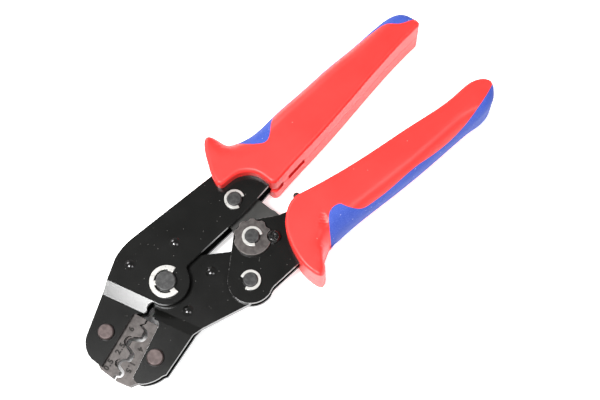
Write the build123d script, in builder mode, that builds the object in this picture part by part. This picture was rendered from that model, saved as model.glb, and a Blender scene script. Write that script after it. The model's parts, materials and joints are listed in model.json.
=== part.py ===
from build123d import *
import math
import os

os.makedirs("parts", exist_ok=True)

# Ratchet crimping pliers for open-barrel terminals, lying on their back.
# Millimetres. The origin is on the axis of the main pivot, in the plane that the grips rest on.
# +X runs from the jaws to the handles, +Y to the fixed handle, +Z up through the plates.

# ---- heights, as distances from the middle plane of the tool
HALF_GRIP = 10.4          # half the thickness of the grips
MID = HALF_GRIP           # height of the middle plane over the resting plane
SHEET = 1.7               # thickness of every plate
JAW_IN = 0.0              # the two jaw plates lie face to face
HANDLE_IN = 1.8           # the handle plates lie outside the jaw plates
FRAME_IN = 3.6            # the frame plates lie outside the handle plates
NOSE_IN = 2.05            # both pairs of plates grip the dies at this height
LINK_HALF = 1.65
DIE_HALF = 2.0
PAWL_HALF = 1.5
GAP = 0.1                 # running gap between faces

# ---- pivots of the toggle linkage (dies nearly closed)
MAIN = (0.0, 0.0)         # frame to jaw
LINK_TOP = (40.9, 9.2)    # frame to thrust link
JAW_END = (25.6, -20.0)   # jaw to handle
KNEE = (36.8, -7.2)       # thrust link to handle, on the adjuster
PAWL_AT = (57.8, -12.8)

MAIN_R = 4.0
PIN_R = 2.95
FIT = 0.05                # radial play of a pin in its hole

# ---- dies
DIE_ANGLE = 202.6         # direction of the parting line when the dies are shut
JAW_OPEN = 1.7            # the jaw stands open by this angle
BEND_ANGLE = 25.5         # direction across the steps in the plates

MIDDLE = Plane.XY.offset(MID)


def at(point, height=0.0):
    """A place over a plan point, at a height from the middle plane."""
    return Location((point[0], point[1], MID + height))


def polar(centre, radius, degrees):
    """The plan point at a radius and an angle from a centre."""
    angle = math.radians(degrees)
    return (centre[0] + radius * math.cos(angle), centre[1] + radius * math.sin(angle))


def finish(builder, name):
    """Label a piece and write it."""
    builder.part.label = name
    export_step(builder.part, f"parts/{name}.step")


# =====================================================================
# Plates
# =====================================================================

FRAME_BEND = (-8.9, -14.35)    # distances from the pivot where the step starts and ends
JAW_BEND = (-10.35, -14.35)
REACH = 200.0                  # longer than any plate
BEND_PLANE = Plane(
    origin=(0, 0, MID),
    x_dir=(math.cos(math.radians(BEND_ANGLE)), math.sin(math.radians(BEND_ANGLE)), 0),
    z_dir=(math.sin(math.radians(BEND_ANGLE)), -math.cos(math.radians(BEND_ANGLE)), 0),
)


def stepped_sheet(inside, bend):
    """A sheet that runs at one height and steps to the nose height past the bend."""
    start, end = bend
    with BuildPart() as sheet:
        with BuildSketch(BEND_PLANE):
            with BuildLine():
                Polyline(
                    (REACH, inside),
                    (start, inside),
                    (end, NOSE_IN),
                    (-REACH, NOSE_IN),
                    (-REACH, NOSE_IN + SHEET),
                    (end, NOSE_IN + SHEET),
                    (start, inside + SHEET),
                    (REACH, inside + SHEET),
                    close=True,
                )
            make_face()
        extrude(amount=REACH, both=True)
    return sheet.part


def frame_outline():
    boss = 9.0
    with BuildSketch() as outline:
        with BuildLine():
            Line((134.0, 26.5), (60.0, 23.0))
            Line((60.0, 23.0), (0.5, 22.5))
            ThreePointArc((0.5, 22.5), (-4.8, 21.9), (-9.6, 20.3))
            Line((-9.6, 20.3), (-36.3, 3.1))
            ThreePointArc((-36.3, 3.1), (-39.4, -1.2), (-39.9, -5.6))
            Line((-39.9, -5.6), (-38.7, -10.0))
            Line((-38.7, -10.0), (-17.3, -1.45))
            Line((-17.3, -1.45), (-14.6, -3.5))
            ThreePointArc((-14.6, -3.5), (-13.4, -4.0), (-12.3, -3.6))
            ThreePointArc((-12.3, -3.6), (-10.9, -2.6), polar(MAIN, boss, 203))
            ThreePointArc(polar(MAIN, boss, 203), polar(MAIN, boss, 275), polar(MAIN, boss, 350))
            ThreePointArc(polar(MAIN, boss, 350), (9.5, -0.4), (11.0, 0.25))
            Line((11.0, 0.25), (41.5, 2.85))
            Line((41.5, 2.85), (56.8, 5.5))
            Spline((56.8, 5.5), (75.0, 8.4), (97.0, 12.4), (118.0, 16.3), (134.0, 19.5))
            ThreePointArc((134.0, 19.5), (137.3, 23.0), (134.0, 26.5))
        make_face()
    return outline.sketch


def jaw_outline():
    boss = 8.4
    end = 8.1
    with BuildSketch() as outline:
        with BuildLine():
            Line((26.2, -5.1), (9.0, 6.0))
            ThreePointArc((9.0, 6.0), polar(MAIN, boss + 1.1, 62), polar(MAIN, boss, 90))
            ThreePointArc(polar(MAIN, boss, 90), polar(MAIN, boss, 140), polar(MAIN, boss, 190))
            Line(polar(MAIN, boss, 190), (-10.2, -5.4))
            ThreePointArc((-10.2, -5.4), (-11.3, -6.4), (-12.3, -6.7))
            ThreePointArc((-12.3, -6.7), (-11.6, -9.0), (-12.4, -11.3))
            Line((-12.4, -11.3), (-32.0, -21.0))
            ThreePointArc((-32.0, -21.0), (-32.2, -22.8), (-30.3, -25.5))
            ThreePointArc((-30.3, -25.5), (-27.4, -26.9), (-23.2, -27.6))
            Line((-23.2, -27.6), (-21.8, -28.1))
            Line((-21.8, -28.1), (-4.4, -22.5))
            Line((-4.4, -22.5), (-0.4, -22.4))
            Line((-0.4, -22.4), (21.6, -27.05))
            ThreePointArc((21.6, -27.05), polar(JAW_END, end, 320), polar(JAW_END, end, 38))
            Line(polar(JAW_END, end, 38), (28.6, -8.6))
            ThreePointArc((28.6, -8.6), (28.0, -6.4), (26.2, -5.1))
        make_face()
    return outline.sketch


def handle_outline():
    end = 9.0
    knee = 7.6
    with BuildSketch() as outline:
        with BuildLine():
            Line(polar(JAW_END, end, 133.5), polar(KNEE, knee, 133.5))
            ThreePointArc(polar(KNEE, knee, 133.5), polar(KNEE, knee, 90), polar(KNEE, knee, 46))
            Line(polar(KNEE, knee, 46), (50.4, -6.4))
            Spline((50.4, -6.4), (62.0, -9.3), (92.0, -13.4), (137.0, -17.2))
            ThreePointArc((137.0, -17.2), (140.4, -20.6), (137.0, -24.0))
            Line((137.0, -24.0), (60.0, -25.4))
            Line((60.0, -25.4), (44.6, -26.6))
            Line((44.6, -26.6), (32.5, -27.35))
            ThreePointArc((32.5, -27.35), (30.0, -27.75), polar(JAW_END, end, 287))
            ThreePointArc(polar(JAW_END, end, 287), polar(JAW_END, end, 210), polar(JAW_END, end, 133.5))
        make_face()
    return outline.sketch


FRAME_DOMES = [(-6.8, 14.4), (12.0, 10.3)]
FRAME_DOWELS = [(80.0, 19.5), (126.0, 22.5)]
FRAME_RIVETS = FRAME_DOMES + FRAME_DOWELS
JAW_RIVETS = [(16.0, -7.1), (-0.4, -13.5)]
HANDLE_RIVETS = [(86.0, -18.5), (126.0, -20.5)]
SPRING_AT = (101.0, 17.2)
RIVET_R = 1.6
DIE_PIN_U = 27.5
DIE_PIN_V_FIXED = 10.8
DIE_PIN_V_MOVING = -10.0
DIE_SHANK_R = 2.2


def along_dies(u, v, turn=0.0):
    """A point u from the pivot along the parting line and v to the fixed side of it."""
    angle = math.radians(DIE_ANGLE + turn)
    return (
        u * math.cos(angle) + v * math.sin(angle),
        u * math.sin(angle) - v * math.cos(angle),
    )


FIXED_DIE_PIN = along_dies(DIE_PIN_U, DIE_PIN_V_FIXED)
MOVING_DIE_PIN = along_dies(DIE_PIN_U, DIE_PIN_V_MOVING, JAW_OPEN)

with BuildPart() as frame_plate_front:
    add(stepped_sheet(FRAME_IN, FRAME_BEND))
    extrude(frame_outline(), amount=2 * MID, mode=Mode.INTERSECT)
    with Locations(at(MAIN, MID)):
        Hole(MAIN_R + FIT, depth=MID)
    with Locations(at(LINK_TOP, MID)):
        Hole(PIN_R + FIT, depth=MID)
    with Locations(at(FIXED_DIE_PIN, MID)):
        Hole(DIE_SHANK_R, depth=MID)
    with Locations(at(SPRING_AT, MID)):
        Hole(RIVET_R, depth=MID)
    with Locations([at(p, MID) for p in FRAME_RIVETS]):
        Hole(RIVET_R, depth=MID)
finish(frame_plate_front, "frame_plate_front")

with BuildPart() as frame_plate_back:
    mirror(frame_plate_front.part, about=MIDDLE)
finish(frame_plate_back, "frame_plate_back")

with BuildPart() as jaw_plate_front:
    add(stepped_sheet(JAW_IN, JAW_BEND))
    extrude(jaw_outline(), amount=2 * MID, mode=Mode.INTERSECT)
    with Locations(at(MAIN, MID)):
        Hole(MAIN_R + FIT, depth=MID)
    with Locations(at(JAW_END, MID)):
        Hole(PIN_R + FIT, depth=MID)
    with Locations(at(MOVING_DIE_PIN, MID)):
        Hole(DIE_SHANK_R, depth=MID)
    with Locations([at(p, MID) for p in JAW_RIVETS]):
        Hole(RIVET_R, depth=MID)
finish(jaw_plate_front, "jaw_plate_front")

with BuildPart() as jaw_plate_back:
    mirror(jaw_plate_front.part, about=MIDDLE)
finish(jaw_plate_back, "jaw_plate_back")

LOCK_AT = (43.4, -12.3)
with BuildPart() as handle_plate_front:
    with BuildSketch(Plane.XY.offset(MID + HANDLE_IN)):
        add(handle_outline())
    extrude(amount=SHEET)
    with Locations(at(JAW_END, MID), at(KNEE, MID)):
        Hole(PIN_R + FIT, depth=MID)
    with Locations(at(PAWL_AT, MID)):
        Hole(RIVET_R, depth=MID)
    with Locations([at(p, MID) for p in HANDLE_RIVETS]):
        Hole(RIVET_R, depth=MID)
    with Locations(at(LOCK_AT, MID)):
        Hole(1.25, depth=MID)
finish(handle_plate_front, "handle_plate_front")

with BuildPart() as handle_plate_back:
    with BuildSketch(Plane.XY.offset(MID - HANDLE_IN)):
        add(handle_outline())
    extrude(amount=-SHEET)
    with Locations(at(JAW_END, 0), at(KNEE, 0)):
        Hole(PIN_R + FIT, depth=MID)
    with Locations(at(PAWL_AT, 0)):
        Hole(RIVET_R, depth=MID)
    with Locations([at(p, 0) for p in HANDLE_RIVETS]):
        Hole(RIVET_R, depth=MID)
finish(handle_plate_back, "handle_plate_back")

# =====================================================================
# Rivets, spacers and pins
# =====================================================================

DOME_R = 2.15
DOME_H = 0.9
SPACER_R = 3.2


def lathe(points):
    """A turned piece from (radius, height) points, heights from the middle plane."""
    with BuildPart() as turned:
        with BuildSketch(Plane.XZ.offset(0)):
            with BuildLine():
                Polyline(*[(r, MID + h) for r, h in points], close=True)
            make_face()
        revolve(axis=Axis.Z)
    return turned.part


def domed_rivet(half):
    """A rivet with a domed head on both outer faces, half the stack away from the middle."""
    ball = (DOME_R**2 + DOME_H**2) / (2 * DOME_H)
    with BuildPart() as rivet:
        with BuildSketch(Plane.XY.offset(MID - half)):
            Circle(RIVET_R)
        extrude(amount=2 * half)
        for side in (1, -1):
            with BuildSketch(Plane.XZ):
                with BuildLine():
                    Line((0, MID + side * half), (0, MID + side * (half + DOME_H)))
                    RadiusArc((0, MID + side * (half + DOME_H)), (DOME_R, MID + side * half), side * ball)
                    Line((DOME_R, MID + side * half), (0, MID + side * half))
                make_face()
            revolve(axis=Axis.Z)
    return rivet.part


def repeat(piece, points):
    """Copies of a piece over several plan points, kept as separate solids."""
    with BuildPart() as group:
        with Locations([Location((p[0], p[1], 0)) for p in points]):
            add(piece)
    return group


def tube(outer, inner, low, high):
    return lathe([(inner, low), (outer, low), (outer, high), (inner, high)])


FRAME_HALF = FRAME_IN + SHEET
HANDLE_HALF = HANDLE_IN + SHEET
JAW_HALF = JAW_IN + SHEET
NOSE_HALF = NOSE_IN + SHEET

frame_rivets = repeat(domed_rivet(FRAME_HALF), FRAME_DOMES)
finish(frame_rivets, "frame_rivets")

dowel = lathe([(0, -FRAME_HALF), (RIVET_R, -FRAME_HALF), (RIVET_R, FRAME_HALF), (0, FRAME_HALF)])
frame_dowels = repeat(dowel, FRAME_DOWELS)
finish(frame_dowels, "frame_dowels")

frame_spacers = repeat(tube(SPACER_R, RIVET_R, -FRAME_IN, FRAME_IN), FRAME_RIVETS)
finish(frame_spacers, "frame_spacers")

jaw_rivets = repeat(domed_rivet(JAW_HALF), JAW_RIVETS)
finish(jaw_rivets, "jaw_rivets")

short_dowel = lathe([(0, -HANDLE_HALF), (RIVET_R, -HANDLE_HALF), (RIVET_R, HANDLE_HALF), (0, HANDLE_HALF)])
handle_rivets = repeat(short_dowel, HANDLE_RIVETS)
finish(handle_rivets, "handle_rivets")

handle_spacers = repeat(tube(SPACER_R, RIVET_R, -HANDLE_IN, HANDLE_IN), HANDLE_RIVETS)
finish(handle_spacers, "handle_spacers")

GROOVE_DEPTH = 0.5
CLIP_LIFT = 0.05
EDGE = 0.35


def headed_pin(radius, head_r, head_h, stack_low, stack_high, groove, clip_h, tip):
    """A pin with a flat head behind the stack and a clip groove in front of it."""
    neck = radius - GROOVE_DEPTH
    low = stack_high + groove
    return lathe(
        [
            (0, stack_low - head_h),
            (head_r - EDGE, stack_low - head_h),
            (head_r, stack_low - head_h + EDGE),
            (head_r, stack_low),
            (radius, stack_low),
            (radius, low),
            (neck, low),
            (neck, low + clip_h),
            (radius, low + clip_h),
            (radius, stack_high + tip - EDGE),
            (radius - EDGE, stack_high + tip),
            (0, stack_high + tip),
        ]
    )


MAIN_CLIP_H = 1.0
SMALL_CLIP_H = 0.8
WHEEL_H = 1.8

main_pin = repeat(
    headed_pin(MAIN_R, 6.0, 1.5, -FRAME_HALF, FRAME_HALF, CLIP_LIFT, MAIN_CLIP_H, 1.9), [MAIN]
)
finish(main_pin, "main_pin")

link_pin = repeat(
    headed_pin(PIN_R, 4.4, 1.0, -FRAME_HALF, FRAME_HALF, CLIP_LIFT, SMALL_CLIP_H, 1.6), [LINK_TOP]
)
finish(link_pin, "link_pin")

jaw_pin = repeat(
    headed_pin(PIN_R, 4.4, 1.0, -HANDLE_HALF, HANDLE_HALF, CLIP_LIFT, SMALL_CLIP_H, 1.6), [JAW_END]
)
finish(jaw_pin, "jaw_pin")

WHEEL_LOW = HANDLE_HALF + CLIP_LIFT
adjuster_pin = repeat(
    headed_pin(
        PIN_R, 4.4, 1.0, -HANDLE_HALF, WHEEL_LOW + WHEEL_H, CLIP_LIFT, SMALL_CLIP_H, 1.6
    ),
    [KNEE],
)
finish(adjuster_pin, "adjuster_pin")

pawl_pin = repeat(short_dowel, [PAWL_AT])
finish(pawl_pin, "pawl_pin")

# spacing washers beside the jaw and the thrust link
with BuildPart() as pivot_washers:
    add(tube(7.0, MAIN_R + FIT, JAW_HALF + FIT, FRAME_IN - FIT))
    add(tube(7.0, MAIN_R + FIT, -FRAME_IN + FIT, -JAW_HALF - FIT))
finish(pivot_washers, "pivot_washers")

link_washer_pair = [
    tube(5.0, PIN_R + FIT, LINK_HALF + FIT, FRAME_IN - FIT),
    tube(5.0, PIN_R + FIT, -FRAME_IN + FIT, -LINK_HALF - FIT),
]
with BuildPart() as link_washers:
    with Locations(Location((LINK_TOP[0], LINK_TOP[1], 0))):
        add(link_washer_pair)
finish(link_washers, "link_washers")


# ---- retaining clips
def wedge(centre, direction, width, radius):
    """A triangular sector used to open a ring."""
    with BuildSketch() as sector:
        with BuildLine():
            Polyline(
                centre,
                polar(centre, radius, direction - width / 2),
                polar(centre, radius * 1.4, direction),
                polar(centre, radius, direction + width / 2),
                close=True,
            )
        make_face()
    return sector.sketch


def ring_clip(centre, neck, outer, low, thick, direction, width):
    """An open snap ring in its groove."""
    with BuildPart() as clip:
        with BuildSketch(Plane.XY.offset(MID + low)):
            with Locations(centre):
                Circle(outer)
                Circle(neck + FIT, mode=Mode.SUBTRACT)
            add(wedge(centre, direction, width, 2 * outer), mode=Mode.SUBTRACT)
        extrude(amount=thick)
    return clip


NECK = PIN_R - GROOVE_DEPTH
CLIP_R = 4.05
link_pin_clip = ring_clip(LINK_TOP, NECK, CLIP_R, FRAME_HALF + CLIP_LIFT, SMALL_CLIP_H, -60, 78)
finish(link_pin_clip, "link_pin_clip")
jaw_pin_clip = ring_clip(JAW_END, NECK, CLIP_R, HANDLE_HALF + CLIP_LIFT, SMALL_CLIP_H, 160, 78)
finish(jaw_pin_clip, "jaw_pin_clip")
adjuster_clip = ring_clip(
    KNEE, NECK, CLIP_R, WHEEL_LOW + WHEEL_H + CLIP_LIFT, SMALL_CLIP_H, -69, 82
)
finish(adjuster_clip, "adjuster_clip")

MAIN_CLIP_R = 6.45
MAIN_CLIP_BORE = 4.7
MAIN_CLIP_TURN = -31
MAIN_NECK = MAIN_R - GROOVE_DEPTH
with BuildPart() as main_clip:
    with BuildSketch(Plane.XY.offset(MID + FRAME_HALF + CLIP_LIFT)):
        Circle(MAIN_CLIP_R)
        Circle(MAIN_CLIP_BORE, mode=Mode.SUBTRACT)
        add(wedge(MAIN, MAIN_CLIP_TURN, 96, 2 * MAIN_CLIP_R), mode=Mode.SUBTRACT)
        # the three fingers that reach into the groove
        for turn in (60, 180, 300):
            with Locations(Location(polar(MAIN, 4.6, MAIN_CLIP_TURN + turn), MAIN_CLIP_TURN + turn)):
                Rectangle(2.4, 2.0)
        Circle(MAIN_NECK + FIT, mode=Mode.SUBTRACT)
    extrude(amount=MAIN_CLIP_H)
finish(main_clip, "main_clip")

# =====================================================================
# Adjusting wheel and its lock screw
# =====================================================================

WHEEL_R = 7.45
NOTCH_R = 2.2
NOTCH_AT = 8.9
LOCK_HEAD_R = 2.55
LOCK_TURN = math.degrees(math.atan2(LOCK_AT[1] - KNEE[1], LOCK_AT[0] - KNEE[0]))
with BuildPart() as adjuster_wheel:
    with BuildSketch(Plane.XY.offset(MID + WHEEL_LOW)):
        with Locations(KNEE):
            Circle(WHEEL_R)
            Circle(PIN_R, mode=Mode.SUBTRACT)
        for step in range(1, 6):
            with Locations(polar(KNEE, NOTCH_AT, LOCK_TURN + 36 * step)):
                Circle(NOTCH_R, mode=Mode.SUBTRACT)
        with Locations(LOCK_AT):
            Circle(LOCK_HEAD_R + 2 * FIT, mode=Mode.SUBTRACT)
    extrude(amount=WHEEL_H)
finish(adjuster_wheel, "adjuster_wheel")

lock_screw = repeat(
    lathe(
        [
            (0, HANDLE_IN + FIT),
            (1.2, HANDLE_IN + FIT),
            (1.2, HANDLE_HALF),
            (LOCK_HEAD_R, HANDLE_HALF),
            (LOCK_HEAD_R, HANDLE_HALF + 1.5),
            (LOCK_HEAD_R - 0.6, HANDLE_HALF + 2.1),
            (0, HANDLE_HALF + 2.2),
        ]
    ),
    [LOCK_AT],
)
finish(lock_screw, "lock_screw")

# =====================================================================
# Dies
# =====================================================================

DIE_STEP = 0.2        # height where the wide insulation nests begin
NEST_EXTRA = 0.75     # how much deeper the insulation nests are


def fixed_die_outline(extra):
    """The fixed die in (u, v): teeth at -1.3, nests open towards +v."""
    with BuildSketch() as outline:
        with BuildLine():
            Polyline(
                (16.1, 5.4), (15.9, 0.05), (17.6, 0.05), (19.0, 1.5), (20.2, -1.4), (22.9, -1.4), (24.1, 1.2)
            )
            ThreePointArc((24.1, 1.2), (26.4, 2.9 + extra), (28.5, 1.8))
            Polyline((28.5, 1.8), (30.2, -1.1), (32.3, -1.1), (33.6, 1.0))
            ThreePointArc((33.6, 1.0), (35.2, 1.7 + extra), (36.9, 0.9))
            Polyline(
                (36.9, 0.9), (37.8, -1.2), (39.2, -1.2), (39.8, 0.05), (41.4, 0.05), (40.6, 5.8),
                (38.4, 9.0), (35.5, 13.0), (32.0, 14.4), (22.0, 14.4), (18.4, 13.0), (16.1, 5.4),
            )
        make_face()
    return outline.sketch


def moving_die_outline(extra):
    """The moving die in (u, v) when shut: nests open towards -v."""
    with BuildSketch() as outline:
        with BuildLine():
            Polyline((16.1, -5.4), (16.0, -0.05), (17.5, -0.05), (18.6, 0.9), (19.5, -1.2))
            ThreePointArc((19.5, -1.2), (21.9, -2.6 - extra), (24.6, -1.3))
            Polyline((24.6, -1.3), (25.6, 1.4), (28.0, 1.4), (29.3, -1.3))
            ThreePointArc((29.3, -1.3), (31.2, -1.7 - extra), (33.1, -1.3))
            Polyline((33.1, -1.3), (34.3, 1.0), (35.9, 1.0), (37.0, -1.2))
            ThreePointArc((37.0, -1.2), (38.5, -1.6 - extra / 2), (39.9, -1.2))
            Polyline(
                (39.9, -1.2), (40.3, -0.05), (41.7, -0.05), (41.3, -6.0),
                (36.5, -10.0), (33.0, -13.0), (20.0, -13.0), (16.1, -5.4),
            )
        make_face()
    return outline.sketch


def die_plane(height, turn):
    """A sketch plane whose x runs along the parting line and y to the fixed side."""
    angle = math.radians(DIE_ANGLE + turn)
    return Plane(
        origin=(0, 0, MID + height),
        x_dir=(math.cos(angle), math.sin(angle), 0),
        z_dir=(0, 0, -1),
    )


with BuildPart() as die_fixed:
    with BuildSketch(die_plane(DIE_STEP, 0)):
        add(fixed_die_outline(0.0))
    extrude(amount=DIE_STEP + DIE_HALF)
    with BuildSketch(die_plane(DIE_STEP, 0)):
        add(fixed_die_outline(NEST_EXTRA))
    extrude(amount=-(DIE_HALF - DIE_STEP))
    with Locations(at(FIXED_DIE_PIN, MID)):
        Hole(DIE_SHANK_R, depth=2 * MID)
finish(die_fixed, "die_fixed")

with BuildPart() as die_moving:
    with BuildSketch(die_plane(DIE_STEP, JAW_OPEN)):
        add(moving_die_outline(0.0))
    extrude(amount=DIE_STEP + DIE_HALF)
    with BuildSketch(die_plane(DIE_STEP, JAW_OPEN)):
        add(moving_die_outline(NEST_EXTRA))
    extrude(amount=-(DIE_HALF - DIE_STEP))
    with Locations(at(MOVING_DIE_PIN, MID)):
        Hole(DIE_SHANK_R, depth=2 * MID)
finish(die_moving, "die_moving")

DIE_HEAD_H = 1.45
DIE_NUT_H = 1.35


def die_pin(head_r):
    return lathe(
        [
            (0, -NOSE_HALF - DIE_NUT_H),
            (DIE_SHANK_R - FIT, -NOSE_HALF - DIE_NUT_H),
            (DIE_SHANK_R - FIT, NOSE_HALF),
            (head_r, NOSE_HALF),
            (head_r, NOSE_HALF + DIE_HEAD_H - 0.45),
            (head_r - 0.45, NOSE_HALF + DIE_HEAD_H),
            (0, NOSE_HALF + DIE_HEAD_H),
        ]
    )


die_pin_fixed = repeat(die_pin(3.15), [FIXED_DIE_PIN])
finish(die_pin_fixed, "die_pin_fixed")
die_pin_moving = repeat(die_pin(3.3), [MOVING_DIE_PIN])
finish(die_pin_moving, "die_pin_moving")

for place, name in ((FIXED_DIE_PIN, "die_nut_fixed"), (MOVING_DIE_PIN, "die_nut_moving")):
    with BuildPart() as die_nut:
        with BuildSketch(Plane.XY.offset(MID - NOSE_HALF)):
            with Locations(place):
                RegularPolygon(3.6, 6)
                Circle(DIE_SHANK_R, mode=Mode.SUBTRACT)
        extrude(amount=-DIE_NUT_H)
    finish(die_nut, name)

# =====================================================================
# Thrust link with the ratchet arc, and the pawl
# =====================================================================

RATCHET_R = 14.3
TOOTH_STEP = 4.5
TOOTH_H = 0.8
TEETH = 16
RATCHET_TOP = 5.0
LUG_AT = (46.2, 5.6)
LUG_HOLE_R = 0.8
SLIDE = (1.9, 2.3)        # play of the knee in the link, where the loop of the linkage is opened
KNEE_HOLE_R = 3.5
KNEE_BOSS_R = 5.15

with BuildPart() as toggle_link:
    with BuildSketch(Plane.XY.offset(MID - LINK_HALF)):
        with BuildLine():
            ThreePointArc(polar(LINK_TOP, 7.0, -8), polar(LINK_TOP, 7.0, 90), polar(LINK_TOP, 7.0, 188))
            Line(polar(LINK_TOP, 7.0, 188), polar(KNEE, KNEE_BOSS_R, 176))
            ThreePointArc(
                polar(KNEE, KNEE_BOSS_R, 176), polar(KNEE, KNEE_BOSS_R, 230), polar(KNEE, KNEE_BOSS_R, 284)
            )
            Line(polar(KNEE, KNEE_BOSS_R, 284), polar(KNEE, RATCHET_R, 288))
            ThreePointArc(
                polar(KNEE, RATCHET_R, 288), polar(KNEE, RATCHET_R, 330), polar(KNEE, RATCHET_R, 371)
            )
            ThreePointArc(polar(KNEE, RATCHET_R, 371), polar(KNEE, RATCHET_R + 0.05, 375), (50.2, -2.6))
            Line((50.2, -2.6), polar(LINK_TOP, 7.0, -8))
        make_face()
        # the toothed arc
        for tooth in range(TEETH):
            turn = RATCHET_TOP - TOOTH_STEP * tooth
            with BuildLine():
                Polyline(
                    polar(KNEE, RATCHET_R + 0.3, turn),
                    polar(KNEE, RATCHET_R - TOOTH_H, turn - 0.35 * TOOTH_STEP),
                    polar(KNEE, RATCHET_R + 0.3, turn - 0.8 * TOOTH_STEP),
                    close=True,
                )
            make_face(mode=Mode.SUBTRACT)
        with Locations(LINK_TOP):
            Circle(PIN_R + FIT, mode=Mode.SUBTRACT)
        with Locations(LUG_AT):
            Circle(LUG_HOLE_R, mode=Mode.SUBTRACT)
        # the knee hole is a short slot
        with Locations(KNEE, (KNEE[0] + SLIDE[0], KNEE[1] + SLIDE[1])):
            Circle(KNEE_HOLE_R, mode=Mode.SUBTRACT)
        slot_turn = math.degrees(math.atan2(SLIDE[1], SLIDE[0]))
        slot_mid = (KNEE[0] + SLIDE[0] / 2, KNEE[1] + SLIDE[1] / 2)
        with Locations(Location(slot_mid, slot_turn)):
            Rectangle(math.hypot(*SLIDE), 2 * KNEE_HOLE_R, mode=Mode.SUBTRACT)
    extrude(amount=2 * LINK_HALF)
finish(toggle_link, "toggle_link")

PAWL_REACH = 14.75        # where the nose rests, just off the tooth tips
with BuildPart() as pawl:
    with BuildSketch(Plane.XY.offset(MID - PAWL_HALF)):
        with Locations(PAWL_AT):
            Circle(3.9)
        with BuildLine():
            Polyline(
                polar(KNEE, PAWL_REACH, -13.6),
                polar(KNEE, PAWL_REACH, -16.4),
                (55.6, -16.0),
                (60.0, -14.5),
                (58.0, -9.6),
                close=True,
            )
        make_face()
        with BuildLine():
            Polyline((55.8, -9.9), (60.05, -4.7), (62.75, -4.1), (61.6, -11.8), close=True)
        make_face()
        with Locations((61.35, -4.25)):
            Circle(1.4)
        with Locations(PAWL_AT):
            Circle(RIVET_R + FIT, mode=Mode.SUBTRACT)
    extrude(amount=2 * PAWL_HALF)
finish(pawl, "pawl")

# ---- springs, plain sleeves here
COIL_R = 2.4
COIL_WALL = 0.6
WIRE_R = 0.45
COIL_START = (66.0, 9.8)
COIL_END = (98.8, 16.65)
HOOK_H = 2.35
coil_length = math.dist(COIL_START, COIL_END)
coil_turn = math.degrees(math.atan2(COIL_END[1] - COIL_START[1], COIL_END[0] - COIL_START[0]))
hook_turn = math.degrees(math.atan2(COIL_START[1] - LUG_AT[1], COIL_START[0] - LUG_AT[0]))
HOOK_ARM = 3.2
WIRE_SPLIT = polar(LUG_AT, HOOK_ARM + 0.8, hook_turn)


def rod_plane(place, height, turn):
    """A plane across a rod that runs in plan at an angle."""
    angle = math.radians(turn)
    return Plane(
        origin=(place[0], place[1], MID + height),
        x_dir=(-math.sin(angle), math.cos(angle), 0),
        z_dir=(math.cos(angle), math.sin(angle), 0),
    )


with BuildPart() as return_spring:
    with BuildSketch(rod_plane(COIL_START, 0, coil_turn)):
        Circle(COIL_R)
        Circle(COIL_R - COIL_WALL, mode=Mode.SUBTRACT)
    extrude(amount=coil_length)
    with BuildSketch(rod_plane(WIRE_SPLIT, HOOK_H, hook_turn)):
        Circle(WIRE_R)
    extrude(amount=math.dist(WIRE_SPLIT, COIL_START) + 0.5)
    with BuildSketch(Plane.XY.offset(MID - WIRE_R)):
        with Locations(SPRING_AT):
            Circle(3.1)
            Circle(RIVET_R + FIT, mode=Mode.SUBTRACT)
    extrude(amount=2 * WIRE_R)
finish(return_spring, "return_spring")

# the front end of the spring's wire, which turns with the thrust link
with BuildPart() as spring_hook:
    with BuildSketch(rod_plane(LUG_AT, HOOK_H, hook_turn)):
        Circle(WIRE_R)
    extrude(amount=HOOK_ARM)
    with BuildSketch(Plane.XY.offset(MID + HOOK_H)):
        with Locations(LUG_AT):
            Circle(LUG_HOLE_R)
    extrude(amount=-2 * HOOK_H)
finish(spring_hook, "spring_hook")

spring_pin = repeat(dowel, [SPRING_AT])
finish(spring_pin, "spring_pin")

with BuildPart() as pawl_spring:
    with BuildSketch(rod_plane((61.9, -14.2), 0, -12)):
        Circle(1.3)
        Circle(0.8, mode=Mode.SUBTRACT)
    extrude(amount=7.0)
finish(pawl_spring, "pawl_spring")

# =====================================================================
# Grips: two moulded shells and a soft insert on each handle
# =====================================================================

POCKET_PLAY = 0.1
WINDOW_HALF = 2.0
LEVER_NOTCH_AT = (57.6, 3.2)    # room for the release lever when the handles are shut
LEVER_NOTCH = (6.4, 6.0)
CORNER_ROUND = 2.2
FIXED_ROUND = 1.5
MOVING_ROUND = 1.2


def fixed_grip_outline():
    with BuildSketch() as outline:
        with BuildLine():
            Spline((38.9, 15.6), (43.0, 15.8), (48.0, 15.4), (51.3, 13.6), (53.7, 10.7), (54.9, 6.8), (55.8, 2.6))
            Spline((55.8, 2.6), (65.0, 4.3), (85.0, 7.5), (115.0, 13.4), (134.0, 16.7), (145.2, 18.0))
            Spline(
                (145.2, 18.0), (146.0, 22.0), (143.7, 27.2), (138.0, 30.1), (122.0, 30.2), (105.6, 29.7),
                (88.3, 28.4), (74.9, 27.5), (63.0, 26.4), (56.8, 27.6), (52.6, 30.0), (50.4, 34.0),
                (47.7, 35.5), (45.2, 33.6), (42.2, 28.0), (39.6, 21.5), (38.9, 15.6),
            )
        make_face()
        fillet(outline.vertices(), CORNER_ROUND)
    return outline.sketch


def moving_grip_outline():
    with BuildSketch() as outline:
        with BuildLine():
            Spline(
                (61.4, -6.5), (57.0, -6.7), (52.9, -8.9), (49.2, -12.6), (46.3, -18.4), (44.7, -25.0),
                (44.8, -33.2), (47.2, -37.5), (50.2, -35.6), (52.2, -32.0), (56.4, -29.8), (63.0, -28.5),
                (71.0, -28.0), (90.0, -28.2), (110.0, -28.1), (134.3, -27.2), (143.6, -26.3), (149.0, -22.9),
                (150.2, -18.6), (147.6, -15.6), (135.7, -14.4), (113.5, -13.0), (92.1, -11.2), (71.7, -8.5),
                periodic=True,
            )
        make_face()
    return outline.sketch


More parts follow.
